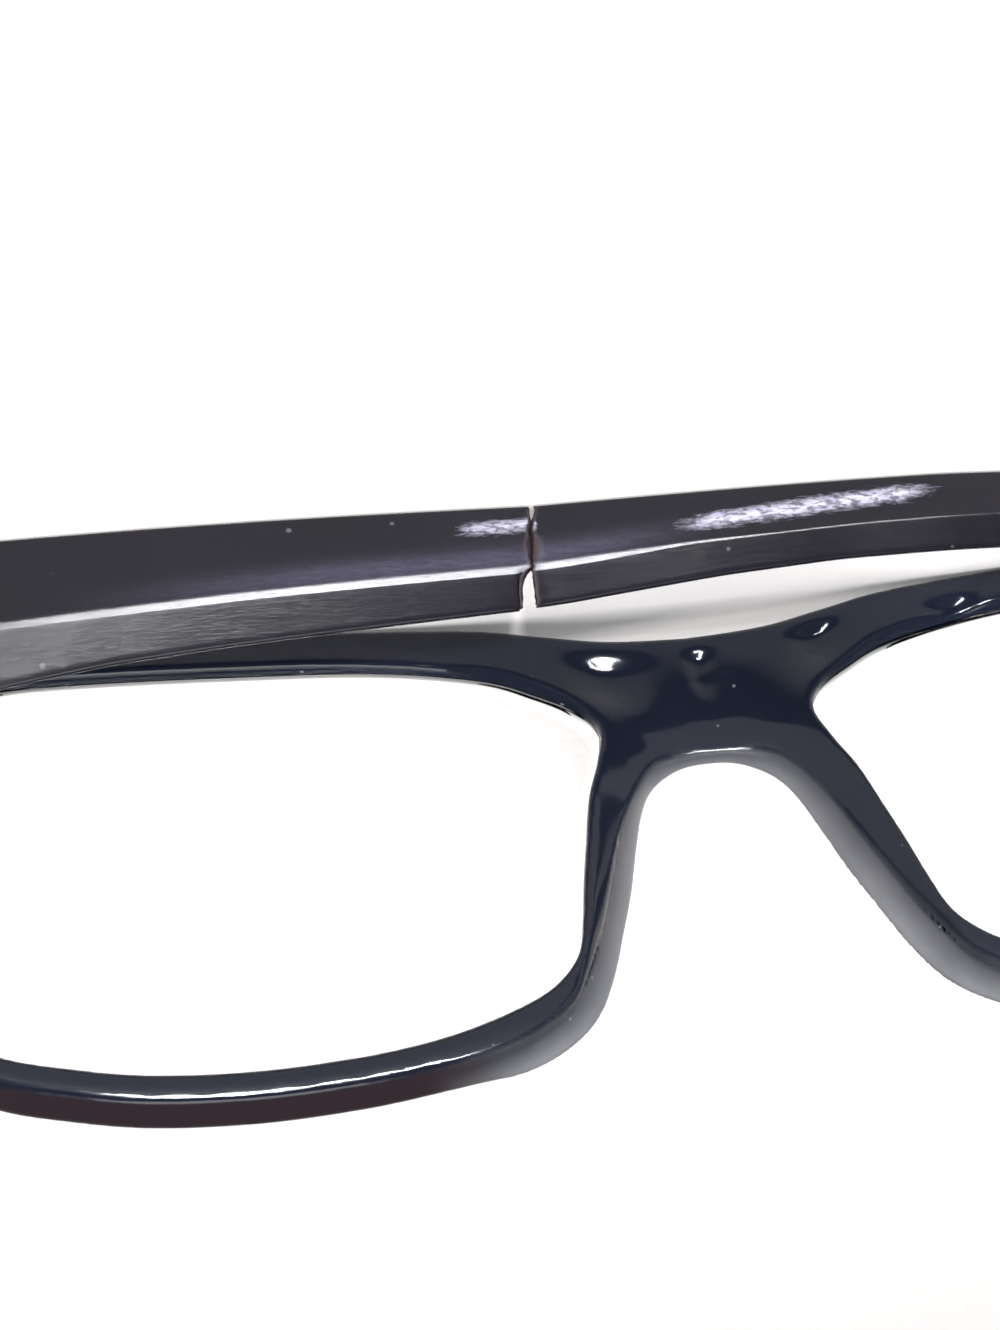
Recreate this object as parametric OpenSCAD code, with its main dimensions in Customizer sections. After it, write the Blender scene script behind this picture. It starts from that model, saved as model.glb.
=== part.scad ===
// Broken eyeglasses, standing upside down on the brow line.
// +Z is up, the wearer's side is -Y and the wearer's left is +X.
// The left temple is folded behind the front and snapped across; the right one is open.

/* [Front] */
// Width of one lens opening
lens_w = 53.4; // [48:0.1:60]
// Height of one lens opening
lens_h = 34.8; // [29:0.1:42]
// Distance between the two lens openings at their nearest
bridge_w = 16.2; // [13:0.1:22]
// Depth of the rim from the wearer's side to the outside
rim_depth = 4; // [3:0.1:6]
// Width of the lower rim, seen square on
rim_w = 2.2; // [1.6:0.1:4]
// Height of the brow above the lens opening
brow_w = 3.1; // [2.4:0.1:6]
// How far the front reaches past each lens opening
end_w = 7.6; // [6.8:0.1:12]
// Radius of the front's wrap around the face
wrap_r = 450; // [380:1:2000]
// Lean of the lens bottoms towards the wearer, in degrees
panto = 8; // [4:0.5:12]
// Height of the nose arch's crown from the lens middle, towards the brow
crown_h = 5.8; // [3:0.1:9]
// Half width of the nose gap at the lens middle
nose_half = 6.4; // [4.8:0.1:7]

/* [Lenses] */
// Thickness of a lens
lens_t = 1.8; // [1.4:0.1:2.4]
// How far the lens face lies inside the rim, from the wearer's side
lens_set = 1.1; // [0.8:0.1:1.6]
// How far the bevel reaches into the groove
bevel_w = 0.8; // [0.5:0.1:1.1]
// Clearance between a lens and its groove
lens_gap = 0.05; // [0.02:0.01:0.1]

/* [Temples] */
// Length of a temple along its top edge
temple_len = 134; // [125:1:145]
// Height of a temple at the hinge
temple_h = 12; // [11:0.1:16]
// Height of a temple in its slim stretch
slim_h = 6; // [5:0.1:8]
// Thickness of a temple
temple_t = 3.7; // [3:0.1:5]
// Distance from the hinge to the ear bend
bend_at = 88; // [80:1:100]
// Radius of the ear bend
bend_r = 30; // [20:1:45]
// Angle of the ear bend
bend_angle = 45; // [30:1:55]
// Distance from the hinge to the break
break_at = 51.4; // [40:0.1:65]
// Turn of the broken-off half at the break, in degrees
kink = 0.4; // [0:0.1:1.4]
// Angle of the folded temple past square, in degrees
over_fold = 1.8; // [0:0.1:2]

/* [Hinges] */
// Radius of a hinge barrel
barrel_r = 1.3; // [1:0.05:1.6]
// Radius of the hinge screw's shank
screw_r = 0.7; // [0.5:0.05:0.9]
// Radial clearance of the screw in its barrels
pin_gap = 0.03; // [0.02:0.01:0.06]
// Thickness of a hinge leaf
leaf_t = 0.9; // [0.6:0.1:1.2]
// Height of a hinge leaf
leaf_h = 9; // [7:0.1:10]
// Length of the leaf that lies on a temple
leaf_len = 8; // [7:0.1:9]
// Length of the tang that anchors a hinge in the front
tang_len = 4.4; // [3:0.1:4.8]
// Distance from the hinge axis to the temple's inner face
axis_in = 1.65; // [1.6:0.05:2]
// Clearance between neighbouring barrels, and between temple and end piece
run_gap = 0.12; // [0.1:0.02:0.3]
// Radius of a rivet's shank
rivet_r = 0.55; // [0.4:0.05:0.7]

/* [Hidden] */
$fn = 96;

navy = [0.10, 0.11, 0.16];
charcoal = [0.18, 0.18, 0.21];
steel = [0.72, 0.72, 0.74];
clear = [0.85, 0.88, 0.88, 0.4];

// The lens shape in half widths and half heights, starting at the nose and running round
// by the cheek. Up in this list is towards the cheek, as the object lies.
LENS_SHAPE = [[-1, -0.56], [-0.97, -0.34], [-0.91, -0.04], [-0.85, 0.3], [-0.81, 0.54], [-0.71, 0.73],
              [-0.49, 0.88], [-0.18, 0.96], [0.22, 0.98], [0.52, 0.92], [0.8, 0.74], [0.95, 0.4],
              [1, -0.1], [0.96, -0.56], [0.8, -0.88], [0.45, -1], [0.04, -1.01], [-0.4, -0.98],
              [-0.73, -0.9], [-0.92, -0.75]];
lens_x = bridge_w / 2 + lens_w / 2;
end_x = lens_x + lens_w / 2 + end_w;
brow_v = lens_h / 2 + brow_w;

// Sag of the wrapped back face at a distance from the middle
function sag(x) = wrap_r - sqrt(wrap_r * wrap_r - x * x);

// The lowest point of the brow lies at this distance from the middle
brow_x = lens_x - 0.18 * lens_w / 2;
lift = brow_v * cos(panto) + sag(brow_x) * sin(panto);

// Hinge axis, in the resting frame
// The origin lies under the folded left temple, at the middle of its top edge's width
axis_x = end_x - temple_t - axis_in;
seat_depth = 1.9;
barrel_clear = 0.15;
axis_back = sag(axis_x) + seat_depth + barrel_r + barrel_clear;
front_y = axis_back + axis_in + temple_t / 2 - axis_x * sin(over_fold) - (axis_x - break_at) * sin(kink);
axis_y = front_y - axis_back;
seat_y = axis_y + barrel_r + barrel_clear;
leaf_z = (temple_h - leaf_h) / 2 + 0.4;
barrels = 5;
barrel_h = (leaf_h - (barrels - 1) * run_gap) / barrels;
head_r = barrel_r - 0.05;
head_t = 0.7;
tang_gap = 0.02;
rivet_len = 1.7;
rivet_head_r = 0.95;
rivet_head_t = 0.3;

// Point of a smooth curve through four points
function curve(a, b, c, d, t) =
    (2 * b + (c - a) * t + (2 * a - 5 * b + 4 * c - d) * t * t + (3 * b - a - 3 * c + d) * t * t * t) / 2;
function closed_curve(p, n) = [for (i = [0 : len(p) - 1], k = [0 : n - 1])
    curve(p[(i + len(p) - 1) % len(p)], p[i], p[(i + 1) % len(p)], p[(i + 2) % len(p)], k / n)];
function open_curve(p, n) = concat([for (i = [0 : len(p) - 2], k = [0 : n - 1])
    curve(p[max(i - 1, 0)], p[i], p[i + 1], p[min(i + 2, len(p) - 1)], k / n)], [p[len(p) - 1]]);
// The same outline, grown outwards by d; the outline runs clockwise
function grow(p, d) = [for (i = [0 : len(p) - 1])
    let (t = p[(i + 1) % len(p)] - p[(i + len(p) - 1) % len(p)])
    p[i] + d * [-t.y, t.x] / norm(t)];

lens_points = [for (p = LENS_SHAPE) [lens_x + p.x * lens_w / 2, p.y * lens_h / 2]];
lens_loop = closed_curve(lens_points, 4);

// Brow line from the middle to the end piece
brow_line = open_curve([[0, -brow_v + 3.5], [6, -brow_v + 3.1], [11, -brow_v + 2],
                        [brow_x - 13, -brow_v + 0.8], [brow_x, -brow_v],
                        [brow_x + 13, -brow_v + 0.8], [end_x - 12, -brow_v + 1.7],
                        [end_x - 2.5, -brow_v + 3], [end_x, -brow_v + 5.4]], 4);
// Nose gap from its crown down one side to the lower rim
nose_line = open_curve([[0, -crown_h], [nose_half * 0.4, -crown_h + 0.3], [nose_half * 0.72, -crown_h + 1.8],
                        [nose_half * 0.9, -1.8], [nose_half + 0.4, 1], [nose_half + 1.6, 4.6],
                        [nose_half + 3, 8.4], [nose_half + 4.9, 12.2], [nose_half + 8, 15.3]], 4);
nose_end = nose_line[len(nose_line) - 1];
flare = 19;
crown_tilt = 26;

// Solids in front coordinates are carried to the resting frame by this lean
module lean() translate([0, front_y, lift]) rotate([panto, 0, 0]) children();
// A flat outline made into a prism across the front
module across(y0, y1) translate([0, y1, 0]) rotate([90, 0, 0]) linear_extrude(y1 - y0) children();
// The wrapped sheet between two depths from the wearer's side
module wrapped(near, far) translate([0, -wrap_r, -lens_h]) difference() {
    cylinder(r = wrap_r + far, h = 2 * lens_h, $fn = 720);
    translate([0, 0, -1]) cylinder(r = wrap_r + near, h = 2 * lens_h + 2, $fn = 720);
}
module both() {
    children();
    mirror([1, 0, 0]) children();
}

module lens_area(d) polygon(grow(lens_loop, d));

module half_front_area() {
    difference() {
        union() {
            lens_area(rim_w);
            polygon(concat(brow_line, [[end_x, -4.6], [end_x - 2.6, -2.4], [lens_x, -2], [0, -crown_h]]));
            polygon(concat(nose_line, [[nose_end.x + 5, nose_end.y], [nose_end.x + 5, -brow_v + 4],
                                       [0, -brow_v + 4]]));
        }
        lens_area(0);
    }
}

// Cut that slants one side wall of the nose gap, wider at the wearer's side
module nose_flare() translate([0, rim_depth, 0]) rotate([0, 0, flare])
    across(-rim_depth * 3, 1) polygon(concat([for (p = nose_line) if (p.y > -crown_h + 1) p],
                                             [[-1, nose_end.y + 0.2], [-1, -crown_h + 1.6]]));

// Cut that slants the crown of the nose gap, higher at the outside
module crown_slope() rotate([-crown_tilt, 0, 0]) across(0, rim_depth * 3)
    polygon([[-nose_half * 0.72, -crown_h + 1.8], [-nose_half * 0.4, -crown_h + 0.3], [0, -crown_h],
             [nose_half * 0.4, -crown_h + 0.3], [nose_half * 0.72, -crown_h + 1.8], [0, 6]]);

// Outside of the end piece: just within the front face of the wrapped sheet
end_y = front_y - sag(end_x) + rim_depth * 0.95;

// End piece: the moulded corner that the open temple butts against
module end_piece() translate([0, 0, 0.8]) linear_extrude(temple_h - 0.6)
    polygon([[end_x - temple_t, axis_y + run_gap], [end_x - 0.5, axis_y + run_gap], [end_x, axis_y + 0.8],
             [end_x, end_y - 1], [end_x - 1, end_y - 0.2], [axis_x - 1.7, end_y], [axis_x - 1.7, seat_y],
             [end_x - temple_t, seat_y]]);

// Slot that the tang of a hinge is pressed into
module tang(fit) translate([axis_x - leaf_t / 2 - fit, seat_y - fit, leaf_z - fit])
    cube([leaf_t + 2 * fit, tang_len + 2 * fit, leaf_h + 2 * fit]);

module front_frame() color(navy) difference() {
    union() {
        lean() intersection() {
            wrapped(0, rim_depth);
            across(-30, 20) both() half_front_area();
        }
        both() end_piece();
    }
    lean() both() {
        across(-30, 20) lens_area(0);
        intersection() {
            wrapped(lens_set + lens_t / 2 - 0.35 - lens_gap, lens_set + lens_t / 2 + 0.35 + lens_gap);
            across(-30, 20) lens_area(bevel_w + lens_gap);
        }
        nose_flare();
    }
    lean() crown_slope();
    both() tang(tang_gap);
}

module lens() color(clear) lean() union() {
    intersection() {
        wrapped(lens_set, lens_set + lens_t);
        across(-30, 20) lens_area(-lens_gap);
    }
    intersection() {
        wrapped(lens_set + lens_t / 2 - 0.35, lens_set + lens_t / 2 + 0.35);
        across(-30, 20) lens_area(bevel_w);
    }
}

// One barrel of a hinge, in the slot i from the bottom
module barrel(i) translate([0, 0, leaf_z + i * (barrel_h + run_gap)]) cylinder(r = barrel_r, h = barrel_h);
module barrel_bore() translate([0, 0, -1]) cylinder(r = screw_r + pin_gap, h = temple_h + 4);

// Leaf on the front: three barrels on a tang that is sunk into the end piece
module front_leaf() color(steel) difference() {
    union() {
        tang(0);
        translate([axis_x, axis_y, 0]) for (i = [0, 2, 4]) {
            barrel(i);
            translate([-leaf_t / 2, 0, leaf_z + i * (barrel_h + run_gap)])
                cube([leaf_t, seat_y - axis_y, barrel_h]);
        }
    }
    translate([axis_x, axis_y, 0]) barrel_bore();
}

// Screw: its head lies under the lowest barrel
module hinge_screw() color(steel) translate([axis_x, axis_y, leaf_z]) difference() {
    union() {
        translate([0, 0, -head_t - 0.02]) cylinder(r = head_r, h = head_t);
        translate([0, 0, -head_t]) cylinder(r = screw_r, h = leaf_h + head_t + 0.3);
    }
    translate([-0.15, -2, -head_t - 0.1]) cube([0.3, 4, 0.3]);
}

// Temple coordinates: x outwards from the hinge axis, y along the temple, z up from its top edge
function edge_point(s) = s <= bend_at ? [s, 0]
    : let (a = min(bend_angle, (s - bend_at) / bend_r * 180 / PI),
           rest = s - bend_at - a * PI / 180 * bend_r)
      [bend_at + bend_r * sin(a) + rest * cos(a), bend_r * (1 - cos(a)) + rest * sin(a)];
function edge_angle(s) = s <= bend_at ? 0 : min(bend_angle, (s - bend_at) / bend_r * 180 / PI);
function height(s) = slim_h + (temple_h - slim_h) * pow(max(0, 1 - s / bend_at), 1.3);
tip_r = slim_h / 2;
function tip(s) = let (left = temple_len - s) left > tip_r ? 1
    : sqrt(max(0, 1 - pow(1 - left / tip_r, 2)));
stations = concat([for (s = [0 : 8 : bend_at]) s],
                  [for (k = [1 : 10]) bend_at + k * (temple_len - tip_r - bend_at) / 10],
                  [for (k = [1 : 6]) temple_len - tip_r + tip_r * sin(k * 15)]);
function side(s, f) = let (a = edge_angle(s), h = height(s), z = h / 2 + (f - 0.5) * h * tip(s))
    edge_point(s) + z * [-sin(a), cos(a)];

// Side view of a temple, from its top edge to its bottom edge
module side_area() polygon(concat([for (s = stations) side(s, 0)],
                                  [for (i = [len(stations) - 1 : -1 : 0]) side(stations[i], 1)]));
// Plan of a temple: parallel faces that thin a little towards the ear
module plan_area() polygon([[axis_in, 0], [axis_in + temple_t, 0], [axis_in + temple_t, bend_at],
                            [axis_in + temple_t * 0.9, temple_len], [axis_in + temple_t * 0.2, temple_len],
                            [axis_in, bend_at]]);
// Lower bevel of the outer face; it fades out towards the ear
module bevel_cut() translate([axis_in + temple_t, 0, temple_h * 0.64]) rotate([-3.3, 0, -1])
    rotate([0, -30, 0]) translate([0, -5, 0]) cube([20, bend_at, 40]);

module temple_blank() difference() {
    intersection() {
        rotate([90, 0, 90]) linear_extrude(30) side_area();
        linear_extrude(60) plan_area();
    }
    bevel_cut();
}

// Crack line up the side view; each half is cut back a little more near the two edges
function crack(side_gap) = [[break_at - 0.16 * side_gap, -1], [break_at - 0.16 * side_gap, 0.9],
    [break_at + 0.05, 1.4], [break_at - 0.1, 2.6], [break_at + 0.08, 3.7], [break_at - 0.06, 5],
    [break_at, 6], [break_at - 0.3 * side_gap, 7.2], [break_at - 0.55 * side_gap, temple_h + 1]];
module hinge_side() rotate([90, 0, 90]) linear_extrude(30)
    polygon(concat([[-1, -1]], crack(1), [[-1, temple_h + 1]]));
module ear_side() rotate([90, 0, 90]) linear_extrude(30)
    polygon(concat([[temple_len + 9, -1]], crack(-1), [[temple_len + 9, temple_h + 60]]));

// Butt end, clear of the end piece, and pocket for the rivets
module temple_fits() {
    translate([0, -1, -1]) cube([20, 1 + run_gap, temple_h + 9]);
    for (i = [1, 2]) translate([axis_in - 1, 1.4 + 2.6 * i, leaf_z + leaf_h / 2]) rotate([0, 90, 0])
        cylinder(r = rivet_r, h = rivet_len + 1.1);
}

module temple_leaf() color(steel) difference() {
    union() {
        translate([axis_in - leaf_t, barrel_r + 0.3, leaf_z]) cube([leaf_t, leaf_len, leaf_h]);
        for (i = [1, 3]) {
            barrel(i);
            translate([-0.2, 0, leaf_z + i * (barrel_h + run_gap)])
                cube([axis_in + 0.2 - 0.3, barrel_r + 0.5, barrel_h]);
        }
    }
    barrel_bore();
    for (i = [1, 2]) translate([-2, 1.4 + 2.6 * i, leaf_z + leaf_h / 2]) rotate([0, 90, 0])
        cylinder(r = rivet_r, h = 8);
}

module temple_rivet(i) color(steel) translate([axis_in - leaf_t, 1.4 + 2.6 * i, leaf_z + leaf_h / 2])
    rotate([0, 90, 0]) {
        translate([0, 0, -rivet_head_t]) cylinder(r = rivet_head_r, h = rivet_head_t);
        translate([0, 0, -0.01]) cylinder(r = rivet_r - 0.02, h = rivet_len + leaf_t);
    }

// Places: the left temple is folded past square, the right one is open and mirrored
module folded_left() translate([axis_x, axis_y, 0]) rotate([0, 0, -90 - over_fold]) mirror([0, 1, 0])
    children();
module open_right() translate([-axis_x, axis_y, 0]) rotate([0, 0, 180]) children();

module left_temple_hinge_half() color(charcoal) folded_left() difference() {
    intersection() {
        temple_blank();
        hinge_side();
    }
    temple_fits();
}
module left_temple_ear_half() color(charcoal) folded_left()
    translate([axis_in, break_at, 0]) rotate([0, 0, kink]) translate([-axis_in, -break_at, 0])
        intersection() {
            temple_blank();
            ear_side();
        }
module right_temple() color(charcoal) open_right() difference() {
    temple_blank();
    temple_fits();
}

front_frame();
lens();  // left_lens
mirror([1, 0, 0]) lens();  // right_lens
front_leaf();  // left_front_leaf
mirror([1, 0, 0]) front_leaf();  // right_front_leaf
folded_left() temple_leaf();  // left_temple_leaf
open_right() temple_leaf();  // right_temple_leaf
hinge_screw();  // left_hinge_screw
mirror([1, 0, 0]) hinge_screw();  // right_hinge_screw
folded_left() temple_rivet(1);  // left_temple_rivet_1
folded_left() temple_rivet(2);  // left_temple_rivet_2
open_right() temple_rivet(1);  // right_temple_rivet_1
open_right() temple_rivet(2);  // right_temple_rivet_2
left_temple_hinge_half();
left_temple_ear_half();
right_temple();
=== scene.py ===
import itertools
import math

import bpy
import numpy as np
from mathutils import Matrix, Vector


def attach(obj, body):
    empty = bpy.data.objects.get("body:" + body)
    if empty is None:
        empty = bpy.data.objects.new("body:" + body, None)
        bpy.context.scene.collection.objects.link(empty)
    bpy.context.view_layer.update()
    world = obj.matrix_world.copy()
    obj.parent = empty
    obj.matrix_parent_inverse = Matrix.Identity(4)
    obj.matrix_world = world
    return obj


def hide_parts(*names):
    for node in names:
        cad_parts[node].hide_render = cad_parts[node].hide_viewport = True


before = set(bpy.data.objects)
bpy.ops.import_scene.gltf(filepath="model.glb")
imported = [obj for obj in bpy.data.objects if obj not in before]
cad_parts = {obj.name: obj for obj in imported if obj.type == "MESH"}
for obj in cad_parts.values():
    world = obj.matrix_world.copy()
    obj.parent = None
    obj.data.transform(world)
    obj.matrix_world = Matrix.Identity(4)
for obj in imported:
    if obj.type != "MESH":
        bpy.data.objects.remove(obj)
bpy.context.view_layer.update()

MM = 0.001

# ---- The front: two rims, bridge, nose arch, pads and end pieces in one ----
# The real one is a single injection moulding in navy-black plastic, tumbled until it is glossy.
# The lens openings, the groove and the nose gap come out of the mould; the hinges are pressed in after.
FRONT_Y = 9.3
LIFT = 20.44
LEAN = math.radians(8)
WRAP_R = 450.0
RIM_DEPTH = 4.0
RIM_W = 2.2
END_X = 69.1
AXIS_X = 63.75
AXIS_Y = 1.411

# Outlines of the left half, in millimetres from the middle of the bridge; the second number grows
# towards the cheeks, which is up as the glasses stand.
LENS_OUTLINE = [
    (8.1, -9.5), (8.8, -6.6), (10.0, -3.5), (10.9, 0.2), (11.7, 3.6), (12.4, 7.0), (13.1, 9.6),
    (14.3, 11.4), (16.1, 12.9), (18.9, 14.2), (22.3, 15.35), (26.0, 16.15), (30.0, 16.65), (36.0, 17.0),
    (42.5, 16.75), (47.5, 15.9), (52.2, 14.6), (56.6, 11.9), (59.6, 7.4), (61.2, 1.5), (61.5, -4.2),
    (60.4, -9.9), (56.6, -14.9), (51.5, -16.9), (44.8, -17.5), (35.0, -17.6), (24.1, -17.2), (16.0, -15.7),
    (11.9, -13.7), (9.3, -11.8),
]
BROW_LINE = [
    (0, -17.55), (6, -17.9), (11, -18.9), (17, -20.0), (30, -20.5), (43, -19.7), (57.1, -18.8),
    (66.4, -17.5), (68.95, -15.1),
]
# The nose gap where its wall starts on the wearer's side, and where it ends on the outside
GAP_NEAR = [
    (0, -7.2), (1.5, -7.15), (4.2, -6.4), (6.0, -4.4), (7.6, -1.3), (9.3, 3.5), (10.9, 7.9), (12.4, 11.2),
    (13.9, 13.7), (16.3, 15.6), (19.4, 17.0), (26.2, 18.8),
]
GAP_FAR = [
    (0, -7.75), (1.6, -7.6), (3, -7.0), (4.6, -5.6), (5.6, -3.7), (6.6, -0.3), (7.6, 3.2), (8.8, 6.5),
    (10.1, 10.0), (11.6, 12.9), (13.5, 14.9), (16.1, 16.5), (19, 17.4), (22, 18.0), (26.2, 18.8),
]


def bend(p, closed, steps):
    """A smooth line through the given points."""
    p = np.array(p, float)
    n = len(p)
    out = []
    for i in range(n if closed else n - 1):
        a, b, c, d = (p[j % n] if closed else p[min(max(j, 0), n - 1)] for j in (i - 1, i, i + 1, i + 2))
        for k in range(steps):
            t = k / steps
            out.append((2 * b + (c - a) * t + (2 * a - 5 * b + 4 * c - d) * t**2
                        + (3 * b - a - 3 * c + d) * t**3) / 2)
    if not closed:
        out.append(p[-1])
    return np.array(out)


# The flat plan of the left half, on which the distances to the outlines are kept
FLAT_STEP = 0.2
FLAT_LOW = np.array([-1.0, -25.0])
FLAT_SIZE = (366, 246)


def outline_distance(loop):
    """Distance to a closed outline over the flat plan of the front, negative inside it."""
    x = FLAT_LOW[0] + FLAT_STEP * np.arange(FLAT_SIZE[0])[:, None]
    v = FLAT_LOW[1] + FLAT_STEP * np.arange(FLAT_SIZE[1])[None, :]
    nearest = np.full(FLAT_SIZE, 1e9)
    inside = np.zeros(FLAT_SIZE, bool)
    for a, b in zip(loop, np.roll(loop, -1, 0)):
        e = b - a
        if not e.any():
            continue
        t = np.clip(((x - a[0]) * e[0] + (v - a[1]) * e[1]) / (e @ e), 0, 1)
        nearest = np.minimum(nearest, (x - a[0] - t * e[0]) ** 2 + (v - a[1] - t * e[1]) ** 2)
        if a[1] != b[1]:
            crossing = (b[0] - a[0]) * (v - a[1]) / (b[1] - a[1]) + a[0]
            inside ^= ((a[1] > v) != (b[1] > v)) & (x < crossing)
    return np.where(inside, -1, 1) * np.sqrt(nearest)


def blend_union(a, b, r):
    """The part inside either field, with a fillet about as wide as r between them."""
    h = np.clip(0.5 + 0.5 * (b - a) / r, 0, 1)
    return b + (a - b) * h - r * h * (1 - h)


def round_both(a, b, r):
    """The part inside both fields, its edge rounded to the radius r."""
    return np.hypot(np.maximum(a + r, 0), np.maximum(b + r, 0)) + np.minimum(np.maximum(a, b), -r)


# The end piece closes the brow's outline, and the middle is the block that the nose gap is cut from
END_PIECE_LINE = [(68.95, -4.6), (66.5, -2.4), (34.8, -2), (-17, -2)]
MIDDLE_SIDE = 27.0
MIDDLE_LOW = -14.0
MIDDLE_HIGH = 17.3
GAP_TOP = 40.0
RIM_FILLET = 1.6
MIDDLE_FILLET = 1.2

lens_loop = bend(LENS_OUTLINE, True, 8)
brow = bend(BROW_LINE, False, 5)
brow_loop = np.vstack([brow[20:0:-1] * [-1, 1], brow, END_PIECE_LINE])
middle_loop = np.array([(-MIDDLE_SIDE, MIDDLE_LOW), (MIDDLE_SIDE, MIDDLE_LOW),
                        (MIDDLE_SIDE, MIDDLE_HIGH), (-MIDDLE_SIDE, MIDDLE_HIGH)])


def gap_loop(line):
    """The nose gap as a closed outline that runs on past the cheek edge of the front."""
    half = bend(line, False, 5)
    side = line[-1][0]
    return np.vstack([half[:0:-1] * [-1, 1], half, [[side, GAP_TOP], [-side, GAP_TOP]]])


lens_flat = outline_distance(lens_loop)
outer_flat = blend_union(outline_distance(brow_loop), lens_flat - RIM_W, RIM_FILLET)
outer_flat = blend_union(outer_flat, outline_distance(middle_loop), MIDDLE_FILLET)
near_flat = outline_distance(gap_loop(GAP_NEAR))
far_flat = outline_distance(gap_loop(GAP_FAR))


def read_flat(flat, x, v):
    """The plan's value at any place, between the four nearest samples."""
    gx = np.clip((x - FLAT_LOW[0]) / FLAT_STEP, 0, FLAT_SIZE[0] - 1.001)
    gv = np.clip((v - FLAT_LOW[1]) / FLAT_STEP, 0, FLAT_SIZE[1] - 1.001)
    i, j = gx.astype(np.int32), gv.astype(np.int32)
    s, t = gx - i, gv - j
    return ((flat[i, j] * (1 - t) + flat[i, j + 1] * t) * (1 - s)
            + (flat[i + 1, j] * (1 - t) + flat[i + 1, j + 1] * t) * s)


def ramp(low, high, x):
    """Rises smoothly from 0 to 1 between low and high, or falls where low is the larger."""
    t = np.clip((x - low) / (high - low), 0, 1)
    return t * t * (3 - 2 * t)


def front_place(x, y, z):
    """Where a point lies in the front: across, towards the cheek, and outwards from the back face."""
    ahead = (y - FRONT_Y) * math.cos(LEAN) + (z - LIFT) * math.sin(LEAN)
    v = (z - LIFT) * math.cos(LEAN) - (y - FRONT_Y) * math.sin(LEAN)
    return x, v, np.hypot(x, ahead + WRAP_R) - WRAP_R


GROOVE_MIDDLE = 2.0
GROOVE_HALF = 0.42
GROOVE_DEEP = 0.86
# Past this depth the openings widen towards the outside
FLARE_FROM = 1.7
FLARE = 0.62
# Radii along the edges: the lens opening, the nose gap and the outline, on the back and on the face
OPENING_BACK_R = 0.65
OPENING_FACE_R = 0.3
GAP_BACK_R = 0.25
GAP_FACE_R = 0.7
OUTER_FACE_R = 0.9
OUTER_BACK_R = 0.4
BRIDGE_BACK_R = 0.5
# The pads and the bridge slope away from the wearer by this much at the nose gap
PAD_SLOPE = 2.0
PAD_CURVE = 1.4
BRIDGE_BLEND = 2.5
CHEEK_SLOPE = 0.3
# Shallow dips beside the brow: place across, reach, depth, and how far inside the outline each one
# starts and is full; it fades away again over DIP_FADE
DIPS = [
    (23, 4.5, 0.2, 0.5, 1.7),
    (18.6, 2.2, 0.2, 1.4, 2.5),
    (6.6, 2.9, 0.95, 1.0, 3.2),
    (-0.6, 1.0, 0.55, 1.3, 2.6),
    (-1.4, 1.5, 0.2, 3.7, 4.4),
    (-9.8, 2.1, 0.85, 0.9, 2.3),
    (-20.9, 2.2, 0.75, 1.6, 2.9),
]
DIP_FADE = 4.5
# The end piece behind the sheet: a block from its inner side to END_X, notched to seat the front leaf
SEAT_Y = AXIS_Y + 1.45
END_BACK_Y = AXIS_Y + 0.12
END_Y = 7.76
END_INNER_X = 62.05
END_INSET = 0.05
NOTCH_X = 65.4
NOTCH_R = 0.2
END_MIDDLE_Z = 6.5
END_HALF_Z = 5.7
END_R = 0.55
END_FILLET = 0.7


def front_field(x, y, z):
    """How far a point is outside the moulding, negative inside it."""
    hand, v, depth = front_place(x, y, z)
    across = np.abs(hand)
    opening = read_flat(lens_flat, across, v)
    outer = read_flat(outer_flat, across, v)
    near = read_flat(near_flat, across, v)
    share = np.clip((depth - PAD_SLOPE) / (RIM_DEPTH - PAD_SLOPE), -0.2, 1.2)
    gap = -(near * (1 - share) + read_flat(far_flat, across, v) * share)
    # the nasal rims and the bridge slope away from the wearer towards the nose gap
    middle = np.hypot(x, BRIDGE_BLEND)
    lens_side = np.maximum(read_flat(lens_flat, middle, v), 0)
    gap_side = np.maximum(read_flat(near_flat, middle, v), 0)
    sloping = lens_side / np.maximum(lens_side + gap_side, 0.5)
    thin = PAD_SLOPE * sloping ** PAD_CURVE * ramp(15.5, 9, v) * ramp(-17.5, -9, v) * ramp(24, 15, across)
    thin = thin + CHEEK_SLOPE * np.maximum(opening - 1.1, 0) * ramp(9, 14, v)
    for place, reach, deep, start, full in DIPS:
        dip = ramp(start, full, -outer) * ramp(full + DIP_FADE, full, -outer) * ramp(-6, -11, v)
        thin = thin + deep * dip * np.exp(-(((hand - place) / reach) ** 2))
    back = thin - depth
    face = depth - RIM_DEPTH
    soft = OUTER_BACK_R + BRIDGE_BACK_R * np.exp(-((across / 13) ** 2)) * ramp(-10, -15, v)
    flared = opening - FLARE * np.maximum(depth - FLARE_FROM, 0)
    open_back = round_both(-flared, back, OPENING_BACK_R)
    sheet = np.maximum.reduce([
        open_back, round_both(outer, back, soft), round_both(gap, back, GAP_BACK_R),
        round_both(-flared, face, OPENING_FACE_R), round_both(outer, face, OUTER_FACE_R),
        round_both(gap, face, GAP_FACE_R),
    ])
    block_x = np.maximum(across - END_X + END_INSET, END_INNER_X - across)
    block = round_both(block_x, np.maximum(END_BACK_Y - y, y - END_Y), END_R)
    notch = np.maximum(across - NOTCH_X, y - SEAT_Y)
    block = round_both(round_both(block, -notch, NOTCH_R), np.abs(z - END_MIDDLE_Z) - END_HALF_Z, END_R)
    solid = np.maximum(blend_union(sheet, block, END_FILLET), open_back)
    groove = np.maximum(opening - GROOVE_DEEP, np.abs(depth - GROOVE_MIDDLE) - GROOVE_HALF)
    return np.maximum(solid, -groove)


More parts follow.
